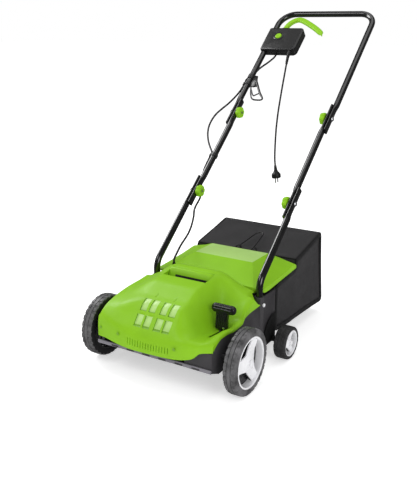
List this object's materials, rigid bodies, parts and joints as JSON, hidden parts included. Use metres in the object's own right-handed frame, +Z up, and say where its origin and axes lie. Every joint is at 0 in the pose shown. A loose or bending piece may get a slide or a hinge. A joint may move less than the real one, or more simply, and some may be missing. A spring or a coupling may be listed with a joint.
{
  "type": "lawn dethatcher",
  "caption": "Corded walk-behind lawn dethatcher with a tined reel, cranked height adjuster, rear catch bag and a folding tube handle with switch box and lever.",
  "frame": {"origin": "on the ground under the middle of the whole machine", "axes": "+Y from the front wheels to the handle, +X to the right side with the height lever, +Z up"},
  "size_m": [0.558, 1.2471, 1.072],
  "materials": {
    "dark_plastic": "fine moulded grain",
    "green_plastic": "satin moulded",
    "bare_steel": "zinc plated",
    "black_plastic": "satin moulded",
    "black_tube": "gloss powder coat",
    "belt_rubber": "smooth",
    "tyre": "moulded, dusty",
    "rim_plastic": "light grey moulded",
    "bag_fabric": "coated woven"
  },
  "bodies": {
    "deck": {"base_housing": "dark_plastic", "hood": "green_plastic", "motor_housing": "bare_steel", "belt_cover": "black_plastic", "drive_belt": "belt_rubber", "reel_bearings": "bare_steel", "rear_axle": "bare_steel", "rear_axle_caps": "black_plastic", "lower_tube_left": "black_tube", "lower_tube_right": "black_tube", "lower_bolts": "bare_steel", "flap_hinge_pin": "bare_steel", "flap_spring": "bare_steel", "side_screws": "bare_steel", "hood_screws": "black_plastic", "cable_gland": "black_plastic"},
    "height_axle": {"front_axle": "bare_steel", "height_lever": "bare_steel", "height_lever_grip": "black_plastic", "front_axle_caps": "black_plastic"},
    "wheel_front_left": {"front_tyre_left": "tyre", "front_rim_left": "rim_plastic"},
    "wheel_front_right": {"front_tyre_right": "tyre", "front_rim_right": "rim_plastic"},
    "wheel_rear_left": {"rear_tyre_left": "tyre", "rear_rim_left": "rim_plastic"},
    "wheel_rear_right": {"rear_tyre_right": "tyre", "rear_rim_right": "rim_plastic"},
    "reel": {"reel_shaft": "bare_steel", "reel_tines": "bare_steel", "reel_pulley": "dark_plastic"},
    "rotor": {"motor_rotor": "bare_steel", "motor_fan": "black_plastic", "motor_pulley": "bare_steel"},
    "flap": {"rear_flap": "green_plastic"},
    "bag": {"bag_shell": "bag_fabric", "bag_frame": "black_plastic"},
    "bail": {"bag_bail": "black_tube"},
    "middle_handle": {"middle_tube_left": "black_tube", "middle_tube_right": "black_tube", "cable_clip_lower": "black_plastic", "cable_lower": "belt_rubber"},
    "upper_handle": {"upper_tube": "black_tube", "upper_bolts": "bare_steel", "switch_case_front": "dark_plastic", "switch_case_back": "dark_plastic", "cable_clip_upper": "black_plastic", "cord_hook": "black_plastic", "cable_upper": "belt_rubber", "cable_loop": "belt_rubber", "strain_relief": "belt_rubber", "mains_lead": "belt_rubber", "plug": "black_plastic"},
    "lever": {"switch_lever": "green_plastic"},
    "button": {"lock_button": "green_plastic"},
    "knob_ll": {"knob_lower_left": "green_plastic"},
    "knob_lr": {"knob_lower_right": "green_plastic"},
    "knob_ul": {"knob_upper_left": "green_plastic"},
    "knob_ur": {"knob_upper_right": "green_plastic"}
  },
  "joints": [
    {"name": "height_adjust", "type": "hinge", "parent": "deck", "child": "height_axle", "pos_m": [0, -0.53358, 0.118], "axis": [1, 0, 0], "range_deg": [0, 45]},
    {"name": "front_left_spin", "type": "hinge", "parent": "height_axle", "child": "wheel_front_left", "pos_m": [-0.257, -0.49558, 0.1], "axis": [1, 0, 0], "continuous": true},
    {"name": "front_right_spin", "type": "hinge", "parent": "height_axle", "child": "wheel_front_right", "pos_m": [0.257, -0.49558, 0.1], "axis": [1, 0, 0], "continuous": true},
    {"name": "rear_left_spin", "type": "hinge", "parent": "deck", "child": "wheel_rear_left", "pos_m": [-0.258, -0.22558, 0.054], "axis": [1, 0, 0], "continuous": true},
    {"name": "rear_right_spin", "type": "hinge", "parent": "deck", "child": "wheel_rear_right", "pos_m": [0.258, -0.22558, 0.054], "axis": [1, 0, 0], "continuous": true},
    {"name": "reel_spin", "type": "hinge", "parent": "deck", "child": "reel", "pos_m": [0, -0.38058, 0.091], "axis": [1, 0, 0], "continuous": true},
    {"name": "motor_spin", "type": "hinge", "parent": "deck", "child": "rotor", "pos_m": [0, -0.50058, 0.162], "axis": [1, 0, 0], "continuous": true},
    {"name": "flap_open", "type": "hinge", "parent": "deck", "child": "flap", "pos_m": [0, -0.28558, 0.234], "axis": [1, 0, 0], "range_deg": [0, 25], "stiffness_Nm_per_rad": 0.25, "springref_deg": -20.05},
    {"name": "bag_pull", "type": "slide", "parent": "deck", "child": "bag", "axis": [0, 1, 0], "range_m": [0, 0.3]},
    {"name": "bail_lift", "type": "hinge", "parent": "bag", "child": "bail", "pos_m": [0, -0.02358, 0.279], "axis": [1, 0, 0], "range_deg": [0, 100]},
    {"name": "lower_fold", "type": "hinge", "parent": "deck", "child": "middle_handle", "pos_m": [0, -0.0661, 0.4669], "axis": [1, 0, 0], "range_deg": [0, 60], "deforming": ["cable_lower"]},
    {"name": "upper_fold", "type": "hinge", "parent": "middle_handle", "child": "upper_handle", "pos_m": [0, 0.2123, 0.71061], "axis": [1, 0, 0], "range_deg": [0, 150], "deforming": ["cable_loop"]},
    {"name": "lever_squeeze", "type": "hinge", "parent": "upper_handle", "child": "lever", "pos_m": [-0.15, 0.53057, 0.98924], "axis": [0, -0.6587, 0.7524], "range_deg": [0, 18], "stiffness_Nm_per_rad": 0.4, "springref_deg": -11.46},
    {"name": "button_press", "type": "slide", "parent": "upper_handle", "child": "button", "axis": [0, 0.6587, -0.7524], "range_m": [0, 0.004], "stiffness_N_per_m": 300, "springref_m": -0.003},
    {"name": "knob_lower_left_turn", "type": "hinge", "parent": "deck", "child": "knob_ll", "pos_m": [-0.166, -0.0661, 0.4669], "axis": [1, 0, 0], "continuous": true},
    {"name": "knob_lower_right_turn", "type": "hinge", "parent": "deck", "child": "knob_lr", "pos_m": [0.166, -0.0661, 0.4669], "axis": [1, 0, 0], "continuous": true},
    {"name": "knob_upper_left_turn", "type": "hinge", "parent": "upper_handle", "child": "knob_ul", "pos_m": [-0.166, 0.2123, 0.71061], "axis": [1, 0, 0], "continuous": true},
    {"name": "knob_upper_right_turn", "type": "hinge", "parent": "upper_handle", "child": "knob_ur", "pos_m": [0.166, 0.2123, 0.71061], "axis": [1, 0, 0], "continuous": true}
  ],
  "couplings": [
    {"joint": "motor_spin", "follows": "reel_spin", "ratio": 2.7692}
  ]
}
